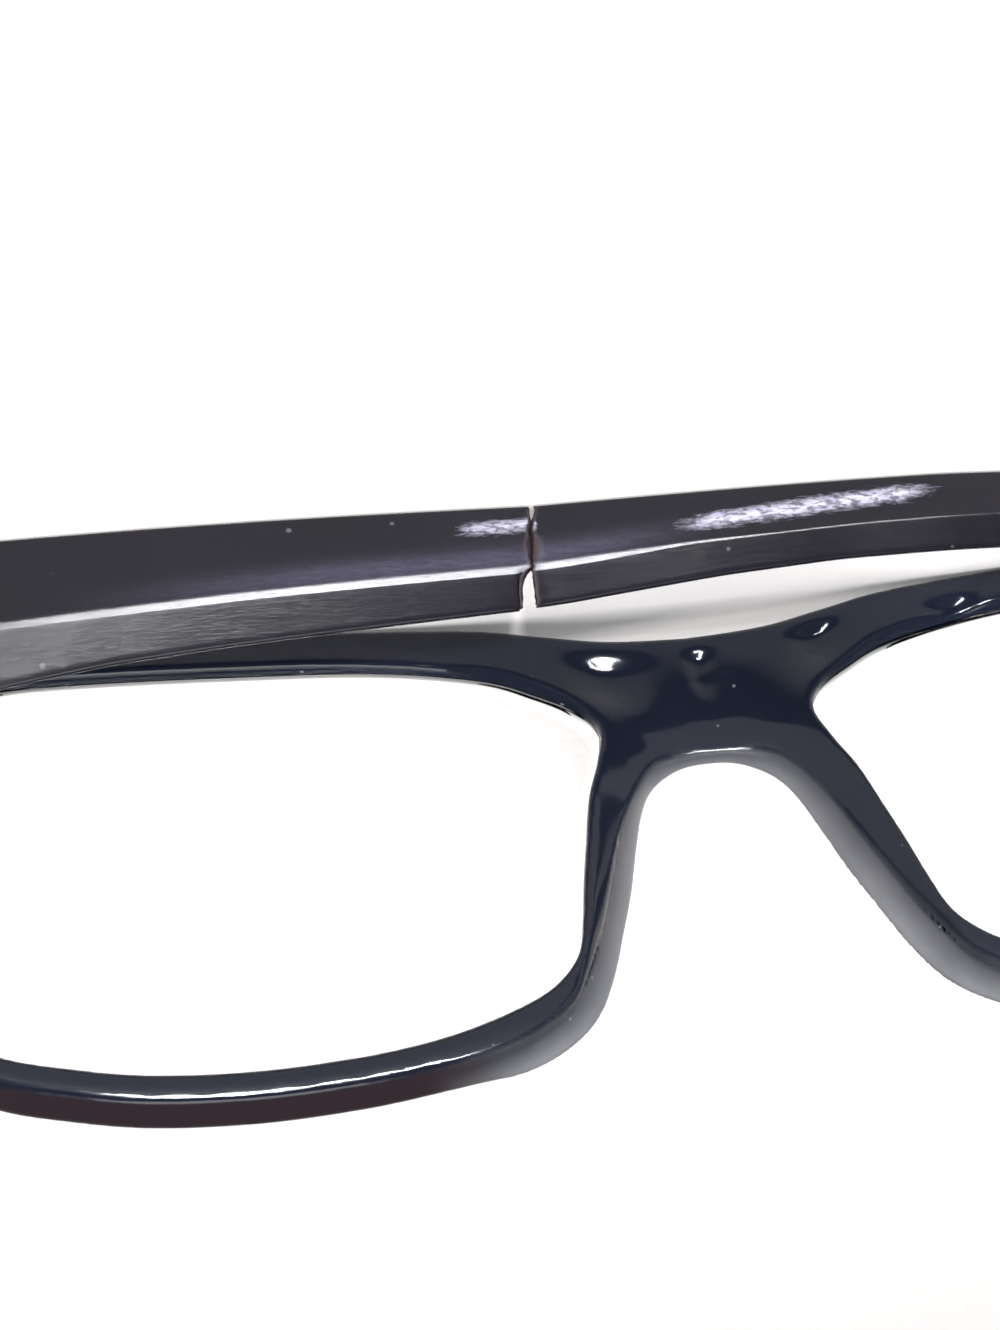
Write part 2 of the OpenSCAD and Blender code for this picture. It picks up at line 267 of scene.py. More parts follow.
# The grid that the field is sampled on, in millimetres
STEP = 0.265
size = (525, 58, 156)
field_low = np.array([-0.5 * STEP * (size[0] - 1), 1.0, -0.6])
axes = [field_low[i] + STEP * np.arange(size[i]) for i in range(3)]
field = np.concatenate([front_field(part[:, None, None], axes[1][None, :, None], axes[2][None, None, :])
                        for part in np.array_split(axes[0], 8)]).astype(np.float32)


def read_field(p):
    """The field at any points, between the eight nearest samples."""
    g = (p - field_low) / STEP
    i = np.clip(np.floor(g).astype(int), 0, np.array(field.shape) - 2)
    t = g - i
    total = np.zeros(len(p))
    for c in itertools.product((0, 1), repeat=3):
        weight = np.prod(np.where(c, t, 1 - t), axis=1)
        total += weight * field[i[:, 0] + c[0], i[:, 1] + c[1], i[:, 2] + c[2]]
    return total


def skin():
    """Points and four-sided faces over the surface where the field is zero."""
    solid = field < 0
    n = field.shape
    corners = np.zeros([k - 1 for k in n], np.int8)
    for c in itertools.product((0, 1), repeat=3):
        corners += solid[tuple(slice(c[a], n[a] - 1 + c[a]) for a in range(3))]
    mixed = (corners > 0) & (corners < 8)
    cells = np.argwhere(mixed)
    number = np.full(mixed.shape, -1, np.int32)
    number[mixed] = np.arange(len(cells))
    total = np.zeros((len(cells), 3))
    count = np.zeros(len(cells))
    faces = []
    unit = np.eye(3, dtype=int)
    for a in range(3):
        b, c = (a + 1) % 3, (a + 2) % 3
        for p, q in itertools.product((0, 1), repeat=2):
            start = cells + p * unit[b] + q * unit[c]
            f0 = field[tuple(start.T)]
            f1 = field[tuple((start + unit[a]).T)]
            cross = (f0 < 0) != (f1 < 0)
            t = np.where(cross, f0 / np.where(cross, f0 - f1, 1), 0)
            total += cross[:, None] * (start + t[:, None] * unit[a])
            count += cross
        change = solid[tuple(slice(0, n[k] - (k == a)) for k in range(3))] \
            != solid[tuple(slice(int(k == a), n[k]) for k in range(3))]
        node = np.argwhere(change)
        node = node[(node[:, b] > 0) & (node[:, b] < n[b] - 1) & (node[:, c] > 0) & (node[:, c] < n[c] - 1)]
        four = np.stack([number[tuple((node - p * unit[b] - q * unit[c]).T)]
                         for p, q in ((0, 0), (1, 0), (1, 1), (0, 1))], 1)
        out = solid[tuple(node.T)]
        faces.append(np.where(out[:, None], four, four[:, ::-1]))
    return field_low + STEP * total / count[:, None], np.concatenate(faces)


def settle(points, faces, rounds):
    """Evens the mesh out and pulls it back onto the surface."""
    ends = np.concatenate([faces[:, [k, (k + 1) % 4]] for k in range(4)])
    near = np.bincount(ends.ravel(), minlength=len(points))
    for _ in range(rounds):
        mean = np.stack([np.bincount(ends[:, 0], points[ends[:, 1], k], len(points))
                         + np.bincount(ends[:, 1], points[ends[:, 0], k], len(points))
                         for k in range(3)], 1)
        points = points + 0.5 * (mean / near[:, None] - points)
        slope = np.stack([read_field(points + 0.5 * STEP * e) - read_field(points - 0.5 * STEP * e)
                          for e in np.eye(3)], 1) / STEP
        off = read_field(points) / np.maximum((slope**2).sum(1), 0.3)
        points = points - np.clip(off, -0.1, 0.1)[:, None] * slope
    return points


def make_piece(name, points, faces, masks=None):
    """A smooth-shaded piece from points in millimetres, with its faces turned outwards."""
    p = np.asarray(points, float)
    three = np.array([(f[0], f[k], f[k + 1]) for f in faces for k in range(1, len(f) - 1)])
    volume = (p[three[:, 0]] * np.cross(p[three[:, 1]], p[three[:, 2]])).sum()
    mesh = bpy.data.meshes.new(name)
    turned = [[int(i) for i in (f if volume > 0 else f[::-1])] for f in faces]
    mesh.from_pydata((p * MM).tolist(), [], turned)
    mesh.shade_smooth()
    for key, values in (masks or {}).items():
        layer = mesh.attributes.new(key, "FLOAT", "POINT")
        layer.data.foreach_set("value", np.asarray(values, np.float32))
    piece = bpy.data.objects.new(name, mesh)
    bpy.context.scene.collection.objects.link(piece)
    return piece


points, faces = skin()
points = settle(points, faces, 8)
# the end pieces keep to their width, and nothing goes below the table
points = np.clip(points, [-END_X, 0, 0], [END_X, 20, 60])
across, v, depth = front_place(*points.T)
across = np.abs(across)
share = np.clip((depth - PAD_SLOPE) / (RIM_DEPTH - PAD_SLOPE), 0, 1)
gap_off = read_flat(near_flat, across, v) * (1 - share) + read_flat(far_flat, across, v) * share
outer_off = read_flat(outer_flat, across, v)
masks = {
    "nose_wall": ramp(0.4, 0.1, gap_off) * ramp(26, 17, across),
    "outward": ramp(0.3, 1.0, depth / RIM_DEPTH),
    "under_rim": (ramp(0.3, 0.08, -outer_off) * ramp(4, 10, v) * ramp(0.3, 0.7, depth)
                  * ramp(15, 22, across)),
}
moulded_front = make_piece("moulded_front", points, faces, masks)


def linear(code):
    """An sRGB hex colour as linear red, green, blue and alpha."""
    parts = [int(code[i:i + 2], 16) / 255 for i in (1, 3, 5)]
    return [p / 12.92 if p <= 0.04045 else ((p + 0.055) / 1.055) ** 2.4 for p in parts] + [1.0]


def add(tree, kind, into=None, **settings):
    """Adds a node: settings are its own, and into gives its sockets a value or another node's socket."""
    made = tree.nodes.new(kind)
    for key, value in settings.items():
        setattr(made, key, value)
    for key, value in (into or {}).items():
        socket = made.inputs[key]
        if isinstance(value, bpy.types.NodeSocket):
            tree.links.new(value, socket)
        else:
            socket.default_value = value
    return made


def new_material(name):
    """An empty node material and its node tree."""
    made = bpy.data.materials.new(name)
    made.use_nodes = True
    made.node_tree.nodes.clear()
    return made, made.node_tree


# Tumble-polished injection-moulded plastic, navy-black: a wet-looking gloss with faint smears and dust.
# The nose walls are hazed grey by skin, and lighter towards the outside as a painted reflection of the pale
# table; the underside of the lower rims is duller, with a brownish cast painted as the reflection of the dim
# room.
polished_navy, tree = new_material("polished_navy_black_plastic")
here = add(tree, "ShaderNodeTexCoord").outputs["Object"]
smears = add(tree, "ShaderNodeTexNoise", {"Vector": here, "Scale": 160.0, "Detail": 3.0, "Roughness": 0.6})
cloud = add(tree, "ShaderNodeTexNoise", {"Vector": here, "Scale": 45.0, "Detail": 2.0})
nose_wall = add(tree, "ShaderNodeAttribute", attribute_name="nose_wall").outputs["Fac"]
under_rim = add(tree, "ShaderNodeAttribute", attribute_name="under_rim").outputs["Fac"]
tone = add(tree, "ShaderNodeMix", {0: cloud.outputs["Fac"], 6: linear("#10131e"), 7: linear("#1b2130")},
           data_type="RGBA")
# painted reflection: a brownish cast on the underside of the lower rims, standing for the dim room mirrored
# there
painted_reflection_brown = add(tree, "ShaderNodeMix", {0: under_rim, 6: tone.outputs[2], 7: linear("#291f25")},
            data_type="RGBA")
haze = add(tree, "ShaderNodeMapRange", {"Value": smears.outputs["Fac"], "From Min": 0.35, "From Max": 0.7,
                                        "To Min": 0.75, "To Max": 1.0})
haze_share = add(tree, "ShaderNodeMath", {0: nose_wall, 1: haze.outputs[0]}, operation="MULTIPLY")
outward = add(tree, "ShaderNodeAttribute", attribute_name="outward").outputs["Fac"]
# painted reflection: the hazed nose walls turn lighter towards the outside, as if mirroring the pale table;
# the grey haze itself is skin wear
haze_and_painted_reflection_tone = add(tree, "ShaderNodeMix", {0: outward, 6: linear("#45464c"), 7: linear("#84868b")},
                data_type="RGBA")
hazed_and_painted_reflections = add(tree, "ShaderNodeMix", {0: haze_share.outputs[0], 6: painted_reflection_brown.outputs[2], 7: haze_and_painted_reflection_tone.outputs[2]},
            data_type="RGBA")
dust_cells = add(tree, "ShaderNodeTexVoronoi", {"Vector": here, "Scale": 330.0})
dust = add(tree, "ShaderNodeMapRange", {"Value": dust_cells.outputs["Distance"], "From Min": 0.035,
                                        "From Max": 0.06, "To Min": 0.7, "To Max": 0.0})
colour_with_dust_and_painted_light = add(tree, "ShaderNodeMix", {0: dust.outputs[0], 6: hazed_and_painted_reflections.outputs[2], 7: linear("#7d7c86")},
            data_type="RGBA")
shine = add(tree, "ShaderNodeMapRange", {"Value": smears.outputs["Fac"], "From Min": 0.3, "From Max": 0.75,
                                         "To Min": 0.07, "To Max": 0.15})
dull = add(tree, "ShaderNodeMix", {0: nose_wall, 2: shine.outputs[0], 3: 0.34})
duller = add(tree, "ShaderNodeMix", {0: under_rim, 2: dull.outputs[0], 3: 0.3})
ripple = add(tree, "ShaderNodeTexNoise", {"Vector": here, "Scale": 420.0, "Detail": 2.0})
surface = add(tree, "ShaderNodeBump", {"Strength": 0.25, "Distance": 0.00002,
                                       "Height": ripple.outputs["Fac"]})
plastic = add(tree, "ShaderNodeBsdfPrincipled", {
    "Base Color": colour_with_dust_and_painted_light.outputs[2], "Roughness": duller.outputs[0], "IOR": 1.49, "Specular IOR Level": 0.24,
    "Normal": surface.outputs["Normal"]})
add(tree, "ShaderNodeOutputMaterial", {"Surface": plastic.outputs["BSDF"]})

moulded_front.data.materials.append(polished_navy)
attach(moulded_front, "front")
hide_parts("front_frame")

# ---- Lenses ----
# Clear plastic lenses cut to the rims, with a bevel all round that snaps into the groove.
# Each is a shallow curved shell, and only its edge and a weak reflection show.
LENS_BACK = 1.1
LENS_FRONT = 2.9
# The edge of a lens from back to front: how far past the opening, and how deep
SKIRT = [(-0.05, LENS_BACK), (-0.05, 1.66), (0.8, 1.78), (0.8, 2.22), (-0.05, 2.34), (-0.05, LENS_FRONT)]


def rest_place(x, v, depth):
    """From the front's own plan to the place where it stands."""
    ahead = np.sqrt((WRAP_R + depth) ** 2 - x**2) - WRAP_R
    return np.stack([x, FRONT_Y + ahead * math.cos(LEAN) - v * math.sin(LEAN),
                     LIFT + ahead * math.sin(LEAN) + v * math.cos(LEAN)], 1)


def grown(loop, d):
    """The outline moved outwards by d."""
    along = np.roll(loop, -1, 0) - np.roll(loop, 1, 0)
    along /= np.linalg.norm(along, axis=1)[:, None]
    return loop + d * np.stack([-along[:, 1], along[:, 0]], 1)


def lens_shell(name, hand):
    """A closed lens: rings out over the back, round the bevelled edge and in over the front."""
    loop = bend(LENS_OUTLINE, True, 10)
    centre = loop.mean(0)
    rim = grown(loop, SKIRT[0][0])
    scales = (0.06, 0.2, 0.35, 0.5, 0.65, 0.8, 0.9, 0.97)
    rings = [(centre + k * (rim - centre), LENS_BACK) for k in scales]
    rings += [(grown(loop, d), y) for d, y in SKIRT]
    rings += [(centre + k * (rim - centre), LENS_FRONT) for k in scales[::-1]]
    n = len(loop)
    points = [rest_place(hand * r[:, 0], r[:, 1], y) for r, y in rings]
    points += [rest_place(np.array([hand * centre[0]]), centre[1:], y) for y in (LENS_BACK, LENS_FRONT)]
    points = np.vstack(points)
    faces = [(r * n + i, r * n + (i + 1) % n, (r + 1) * n + (i + 1) % n, (r + 1) * n + i)
             for r in range(len(rings) - 1) for i in range(n)]
    last = (len(rings) - 1) * n
    faces += [(len(points) - 2, (i + 1) % n, i) for i in range(n)]
    faces += [(len(points) - 1, last + i, last + (i + 1) % n) for i in range(n)]
    return make_piece(name, points, faces)


# CR-39 lens plastic with a hard coat: almost no colour, a clean gloss, and a few hairline scratches.
clear_lens, tree = new_material("hard_coated_lens_plastic")
here = add(tree, "ShaderNodeTexCoord").outputs["Object"]
hairs = add(tree, "ShaderNodeTexNoise", {"Vector": here, "Scale": 900.0, "Detail": 4.0, "Distortion": 1.5})
worn = add(tree, "ShaderNodeMapRange", {"Value": hairs.outputs["Fac"], "From Min": 0.45, "From Max": 0.8,
                                        "To Min": 0.0, "To Max": 0.05})
lens_body = add(tree, "ShaderNodeBsdfPrincipled", {
    "Base Color": linear("#fbfbfa"), "Roughness": worn.outputs[0], "IOR": 1.5, "Transmission Weight": 1.0})
let_light = add(tree, "ShaderNodeBsdfTransparent", {"Color": linear("#f4ece9")})
path = add(tree, "ShaderNodeLightPath")
lens_mix = add(tree, "ShaderNodeMixShader", {0: path.outputs["Is Shadow Ray"], 1: lens_body.outputs["BSDF"],
                                             2: let_light.outputs["BSDF"]})
add(tree, "ShaderNodeOutputMaterial", {"Surface": lens_mix.outputs[0]})

for side, hand in (("left", 1), ("right", -1)):
    lens = lens_shell(side + "_lens_shell", hand)
    lens.data.materials.append(clear_lens)
    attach(lens, "front")
    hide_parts(side + "_lens")

# ---- Temples ----
# Each is one moulding in the same plastic family as the front, charcoal and satin from handling.
# The outer face is broad and faintly crowned; a lower bevel meets it in a crisp ridge that dies out
# before the ear bend. The left one has snapped across and its halves still meet mid-section.
AXIS_IN = 1.65
TEMPLE_T = 3.7
TEMPLE_LEN = 134.0
BEND_AT = 88.0
BEND_R = 30.0
BEND_ANGLE = math.radians(45)
BREAK_AT = 51.4
KINK = math.radians(0.4)
PAST_SQUARE = math.radians(1.8)
BUTT = 0.12
BUTT_EASE = 0.25
BUTT_SHRINK = 0.042
TIP_R = 3.0
CROWN = 0.1
BOW = 0.6
# Height, ridge, the facet along the ridge and the reach of the bevel, by distance from the hinge
HEIGHTS = [(0, 12), (8, 11.35), (13.5, 10.9), (21, 9.95), (28.8, 9.3), (37.3, 8.75), (49.5, 7.95),
           (56.7, 7.3), (64.7, 6.6), (72.9, 6.15), (88, 6.0), (134, 6.0)]
RIDGE = [(0, 7.75), (15, 7.3), (22.8, 6.95), (30.5, 6.55), (42.8, 6.02), (50, 5.72), (55.3, 5.25),
         (62, 4.6), (75, 4.1), (88, 3.9), (134, 3.9)]
FACET = [(0, 0.4), (20, 0.6), (50, 0.62), (56, 0.5), (62, 0.22), (68, 0.12), (134, 0.12)]
FACET_SLOPE = 0.38
BEVEL_IN = [(0, 2.7), (10, 2.4), (22, 2.0), (50, 1.75), (62, 1.5), (75, 1.35), (134, 1.3)]
# How far each half stops short of the break or passes it, by height from the top edge
HINGE_LIP = [(0, -0.21), (0.8, -0.17), (1.26, -0.10), (2.3, -0.22), (3.5, -0.30), (4.7, -0.09),
             (5.4, 0.03), (5.8, -0.28), (6.4, -0.55), (7.2, -0.63), (8.2, -0.57)]
EAR_LIP = [(0, 0.18), (0.8, 0.24), (1.26, 0.16), (2.3, 0.06), (3.5, 0.26), (4.7, 0.2), (5.4, 0.12),
           (5.8, 0.15), (6.4, 0.2), (7.2, 0.32), (8.2, 0.42)]
# The crack runs slantwise through the thickness: down towards the top edge, and along the temple
CRACK_DROP = 0.62
CRACK_SLANT = 0.222
CRACK_TILT = 0.18
CRACK_SHIFT = 0.05
MEET_GAP = 0.012
# Pale patches on the outer face, partly worn by handling and partly a painted highlight that stands for a
# lamp's
# reflection on the scuffs: strength, where each patch starts, is full, wanes and ends,
# its height from the top edge at a place, how that height falls along it, and its reach
RUBBED_AND_PAINTED_HIGHLIGHT = [
    (0.85, 44.5, 47.5, 51.2, 51.6, 1.9, 48, 0.05, 0.7),
    (1.0, 59, 65, 77, 83, 3.0, 62, 0.08, 0.75),
]
# Rings along a temple: their spacing, the first ones behind a clean end and behind a torn one, and
# those that shrink to the middle of an end face
RING_STEP = 0.6
CLEAN_STEPS = (0.02, 0.12, 0.3, 0.7)
TORN_STEPS = (0, 0.08, 0.2, 0.4, 0.7)
CAP_SCALES = (0.965, 0.88, 0.76, 0.63, 0.5, 0.37, 0.24, 0.12, 0.04)


def table(rows, s):
    """The value at s, in a straight line between the rows."""
    rows = np.array(rows, float)
    return np.interp(s, rows[:, 0], rows[:, 1])


def fillet_profile(s):
    """A temple's section at a distance from the hinge: points, outwards and up, always as many."""
    late = np.clip((s - BEND_AT) / (TEMPLE_LEN - BEND_AT), 0, 1)
    inner = AXIS_IN + 0.2 * TEMPLE_T * late
    outer = AXIS_IN + TEMPLE_T * (1 - 0.1 * late)
    h = table(HEIGHTS, s)
    ridge = table(RIDGE, s)
    fade = ramp(58, 78, s)
    side = outer - CROWN
    facet = table(FACET, s)
    drop = 0.6 + 1.1 * ramp(9, 17, s)
    # each corner: outwards, up, its radius, and how many steps the side after it is cut into
    corners = [(inner, 0, 0.5, 8), (side, 0, 0.32, 16), (side, ridge - facet, 1.1 + 1.5 * fade, 4),
               (side - FACET_SLOPE * facet, ridge, 0.12 + 0.9 * fade, 8),
               (side - table(BEVEL_IN, s), h, 0.3, 4), (inner, h - drop, 0.5, 10)]
    pts = []
    n = len(corners)
    turns = []
    for i in range(n):
        p = np.array(corners[i][:2])
        before = np.array(corners[i - 1][:2]) - p
        after = np.array(corners[(i + 1) % n][:2]) - p
        lb, la = np.linalg.norm(before), np.linalg.norm(after)
        before, after = before / lb, after / la
        half = math.acos(np.clip(before @ after, -1, 1)) / 2
        cut = min(corners[i][2] / math.tan(half), 0.45 * lb, 0.45 * la)
        turns.append((p, before, after, half, cut))
    for i in range(n):
        p, before, after, half, cut = turns[i]
        r = cut * math.tan(half)
        middle = (before + after) / np.linalg.norm(before + after)
        centre = p + middle * (r / math.sin(half))
        a, b = p + before * cut - centre, p + after * cut - centre
        total = math.acos(np.clip(a @ b / (r * r), -1, 1))
        for k in range(7):
            t = k / 6
            w = (math.sin((1 - t) * total) * a + math.sin(t * total) * b) / max(math.sin(total), 1e-9)
            pts.append(centre + w)
        start = p + after * cut
        q, qb, _, _, qcut = turns[(i + 1) % n]
        end = q + qb * qcut
        steps = corners[i][3]
        for k in range(1, steps):
            t = k / steps
            m = start + t * (end - start)
            if i == 1:
                m = m + [CROWN * (1 - (2 * t - 1) ** 2), 0]
            pts.append(m)
    return np.array(pts)


def along_edge(s, z):
    """Side view: the top edge runs straight, then round the ear bend."""
    a = np.clip((s - BEND_AT) / BEND_R, 0, BEND_ANGLE)
    rest = np.maximum(s - BEND_AT - a * BEND_R, 0)
    straight = np.minimum(s, BEND_AT)
    x = straight + BEND_R * np.sin(a) + rest * np.cos(a) - z * np.sin(a)
    y = BEND_R * (1 - np.cos(a)) + rest * np.sin(a) + z * np.cos(a)
    return x, y


def grain(a, b):
    """Torn-plastic roughness, the same on both halves so that they still fit."""
    return (0.07 * np.sin(4.1 * a + 1.7 * b) * np.cos(2.9 * b - a) + 0.035 * np.sin(11.3 * a - 7.9 * b + 1)
            + 0.02 * np.sin(23 * a + 17 * b))


def lip(z, w, rows, sign):
    """Where the torn end of a half lies: open at the two edges and at the outer skin, touching inside."""
    deep = AXIS_IN + TEMPLE_T - w
    level = z + CRACK_DROP * deep
    slant = CRACK_SLANT * deep - CRACK_SHIFT - CRACK_TILT * level
    meet = (table(HINGE_LIP, level) + table(EAR_LIP, level)) / 2 + grain(z, w) + slant
    touch = ramp(1.1, 1.6, level) * ramp(5.75, 5.3, level) * ramp(0.0, 0.45, deep)
    open_edge = table(rows, level) + grain(z, w) * 0.8 + slant
    return open_edge * (1 - touch) + (meet - sign * MEET_GAP) * touch


def capped(section, s, first):
    """Rings that shrink to the middle of an end face."""
    c = section.mean(0)
    rings = [(c + (section - c) * k, np.full(len(section), s)) for k in CAP_SCALES]
    return rings[::-1] if first else rings


def temple_mesh(start, end, torn_start=False, torn_end=False):
    """Rings along a temple from start to end, closed at both ends, with the masks for its finish."""
    stations = [start + t for t in (TORN_STEPS if torn_start else CLEAN_STEPS)]
    if torn_end:
        stations += list(np.arange(start + 1.2, end - 1.0, RING_STEP))
        stations += [end - t for t in TORN_STEPS[::-1]]
    else:
        stations += list(np.arange(start + 1.2, end - TIP_R - 0.2, RING_STEP))
        stations += list(end - TIP_R + TIP_R * np.sin(np.linspace(0, 1, 14) * math.pi / 2 * 0.985))
    sections, bases = [], []
    for s in stations:
        section = fillet_profile(s)
        h = table(HEIGHTS, s)
        left = TEMPLE_LEN - s
        if left < TIP_R:
            squeeze = math.sqrt(max(0.0, 1 - (1 - left / TIP_R) ** 2))
            mid_w = section[:, 0].mean()
            section[:, 1] = h / 2 + (section[:, 1] - h / 2) * squeeze
            section[:, 0] = mid_w + (section[:, 0] - mid_w) * (0.45 + 0.55 * squeeze)
        if not torn_start and s < start + BUTT_EASE:
            c = section.mean(0)
            section = c + (section - c) * (1 - BUTT_SHRINK * (1 - (s - start) / BUTT_EASE))
        sections.append(section)
        bases.append(np.full(len(section), s))
    rings = capped(sections[0], stations[0], True) + list(zip(sections, bases)) \
        + capped(sections[-1], stations[-1], False)
    w = np.stack([r[0][:, 0] for r in rings])
    z = np.stack([r[0][:, 1] for r in rings])
    s = np.stack([r[1] for r in rings])
    torn = np.zeros_like(s)
    if torn_end:
        pull = ramp(end - 2.2, end, s)
        s = s + pull * lip(z, w, HINGE_LIP, 1)
        away = end + lip(z, w, HINGE_LIP, 1) - s
        torn = np.exp(-(away / 0.16) ** 2)
        torn[-len(CAP_SCALES):] = 1
    if torn_start:
        pull = ramp(start + 2.2, start, s)
        s = s + pull * lip(z, w, EAR_LIP, -1)
        away = s - start - lip(z, w, EAR_LIP, -1)
        reach = 0.16 + 0.4 * ramp(2.4, 3.2, z) * ramp(5.3, 4.6, z)
        torn = np.exp(-(away / reach) ** 2)
        torn[:len(CAP_SCALES)] = 1
    if torn_start or torn_end:
        w = w + BOW * np.abs(np.sin(np.clip(s / BREAK_AT, 0, 1.8) * math.pi)) * ramp(95, 80, s)
    x, up = along_edge(s, z)
    n = w.shape[1]
    faces = [(r * n + i, r * n + (i + 1) % n, (r + 1) * n + (i + 1) % n, (r + 1) * n + i)
             for r in range(len(rings) - 1) for i in range(n)]
    faces += [list(range(n)), [(len(rings) - 1) * n + i for i in range(n)][::-1]]
    outside = ramp(AXIS_IN + TEMPLE_T - 0.9, AXIS_IN + TEMPLE_T - 0.3, w)
    # pale patches: worn plastic, and a painted highlight where a lamp would reflect on the scuffs
    rubbed_and_painted_highlight = np.maximum.reduce([
        strength * ramp(begin, full, s) * ramp(stop, wane, s)
        * np.exp(-(((z - height + fall * (s - place)) / reach) ** 2))
        for strength, begin, full, wane, stop, height, place, fall, reach in RUBBED_AND_PAINTED_HIGHLIGHT])
    # a band beside the ridge: partly a handling haze, partly a painted sheen next to the ridge highlight
    bloom_and_painted_sheen = ramp(16, 40, s) * ramp(66, 52, s) * np.exp(-(((table(RIDGE, s) - 1.2 - z) / 0.9) ** 2))
    masks = {
        "torn": torn.ravel(),
        "rubbed_and_painted_highlight": (outside * rubbed_and_painted_highlight).ravel(),
        "bloom_and_painted_sheen": (outside * bloom_and_painted_sheen).ravel(),
        "along": (s / TEMPLE_LEN).ravel(),
        "up": (z / HEIGHTS[0][1]).ravel(),
    }
    return w.ravel(), x.ravel(), up.ravel(), faces, masks


def folded_left(w, s, z):
    """From a temple's own lie to the left one's place, folded behind the front."""
    a = -(math.pi / 2 + PAST_SQUARE)
    return np.stack([AXIS_X + w * math.cos(a) + s * math.sin(a),
                     AXIS_Y + w * math.sin(a) - s * math.cos(a), z], 1)


def open_right(w, s, z):
    """From a temple's own lie to the right one's place, open."""
    return np.stack([-AXIS_X - w, AXIS_Y - s, z], 1)


# Satin charcoal plastic, moulded and then handled for years: a soft sheen with fine length-wise
# scratches, a pale band beside the ridge that is partly handling haze and partly a painted sheen, pale worn
# patches with broken streaks that are partly a painted highlight, specks of dust, and raw brownish plastic
# where it has torn.
satin_charcoal, tree = new_material("satin_charcoal_plastic")
where = add(tree, "ShaderNodeCombineXYZ", {
    "X": add(tree, "ShaderNodeAttribute", attribute_name="along").outputs["Fac"],
    "Y": add(tree, "ShaderNodeAttribute", attribute_name="up").outputs["Fac"]}).outputs[0]
here = add(tree, "ShaderNodeTexCoord").outputs["Object"]
torn = add(tree, "ShaderNodeAttribute", attribute_name="torn").outputs["Fac"]
rubbed_and_painted_highlight = add(tree, "ShaderNodeAttribute", attribute_name="rubbed_and_painted_highlight").outputs["Fac"]
cloud = add(tree, "ShaderNodeTexNoise", {"Vector": here, "Scale": 90.0, "Detail": 4.0, "Roughness": 0.6})
tone = add(tree, "ShaderNodeMix", {0: cloud.outputs["Fac"], 6: linear("#0d0c12"), 7: linear("#1c1a25")},
           data_type="RGBA")
stretch = add(tree, "ShaderNodeMapping", {"Vector": where, "Scale": (60.0, 30.0, 1.0),
                                          "Rotation": (0.0, 0.0, 0.3)})
streaks = add(tree, "ShaderNodeTexNoise", {"Vector": stretch.outputs[0], "Scale": 1.6, "Detail": 5.0,
                                           "Roughness": 0.65, "Distortion": 0.8})
smeared = add(tree, "ShaderNodeMath", {0: streaks.outputs["Fac"], 1: rubbed_and_painted_highlight}, operation="ADD")
pale_smear_and_highlight = add(tree, "ShaderNodeMapRange", {"Value": smeared.outputs[0], "From Min": 0.78,
                                              "From Max": 1.5, "To Min": 0.0, "To Max": 1.0})
nicks = add(tree, "ShaderNodeMapping", {"Vector": where, "Scale": (120.0, 22.0, 1.0),
                                        "Rotation": (0.0, 0.0, 0.25)})
nicked = add(tree, "ShaderNodeTexNoise", {"Vector": nicks.outputs[0], "Scale": 1.5, "Detail": 4.0,
                                          "Roughness": 0.6, "Distortion": 0.5})
unbroken = add(tree, "ShaderNodeMapRange", {"Value": nicked.outputs["Fac"], "From Min": 0.4,
                                            "From Max": 0.54, "To Min": 0.3, "To Max": 1.0})
smear_and_highlight = add(tree, "ShaderNodeMath", {0: pale_smear_and_highlight.outputs[0], 1: unbroken.outputs[0]},
            operation="MULTIPLY")
# the band beside the ridge is painted lighter: partly haze, partly a painted sheen
bloom_and_painted_sheen = add(tree, "ShaderNodeAttribute", attribute_name="bloom_and_painted_sheen").outputs["Fac"]
misted = add(tree, "ShaderNodeMath", {0: bloom_and_painted_sheen, 1: streaks.outputs["Fac"]}, operation="MULTIPLY")
mist_and_painted_sheen = add(tree, "ShaderNodeMix", {0: misted.outputs[0], 6: tone.outputs[2], 7: linear("#55526a")},
           data_type="RGBA")
# pale worn patches and streaks, partly a painted highlight of a lamp on the scuffs
pale = add(tree, "ShaderNodeMix", {0: smear_and_highlight.outputs[0], 6: mist_and_painted_sheen.outputs[2], 7: linear("#cfcde6")},
           data_type="RGBA")
torn_grain = add(tree, "ShaderNodeTexNoise", {"Vector": here, "Scale": 2200.0, "Detail": 4.0})
torn_tone = add(tree, "ShaderNodeMix", {0: torn_grain.outputs["Fac"], 6: linear("#120c10"),
                                        7: linear("#4b3a42")}, data_type="RGBA")
torn_edge = add(tree, "ShaderNodeMath", {0: torn_grain.outputs["Fac"], 1: torn}, operation="ADD")
ragged = add(tree, "ShaderNodeMapRange", {"Value": torn_edge.outputs[0], "From Min": 0.85, "From Max": 1.3,
                                          "To Min": 0.0, "To Max": 1.0})
colour = add(tree, "ShaderNodeMix", {0: ragged.outputs[0], 6: pale.outputs[2], 7: torn_tone.outputs[2]},
             data_type="RGBA")
dust_cells = add(tree, "ShaderNodeTexVoronoi", {"Vector": here, "Scale": 300.0})
dust = add(tree, "ShaderNodeMapRange", {"Value": dust_cells.outputs["Distance"], "From Min": 0.04,
                                        "From Max": 0.07, "To Min": 0.6, "To Max": 0.0})
colour_with_dust_and_painted_light = add(tree, "ShaderNodeMix", {0: dust.outputs[0], 6: colour.outputs[2], 7: linear("#77757f")},
            data_type="RGBA")
long_way = add(tree, "ShaderNodeMapping", {"Vector": where, "Scale": (14.0, 160.0, 1.0)})
hairlines = add(tree, "ShaderNodeTexNoise", {"Vector": long_way.outputs[0], "Scale": 2.2, "Detail": 4.0,
                                             "Roughness": 0.75})
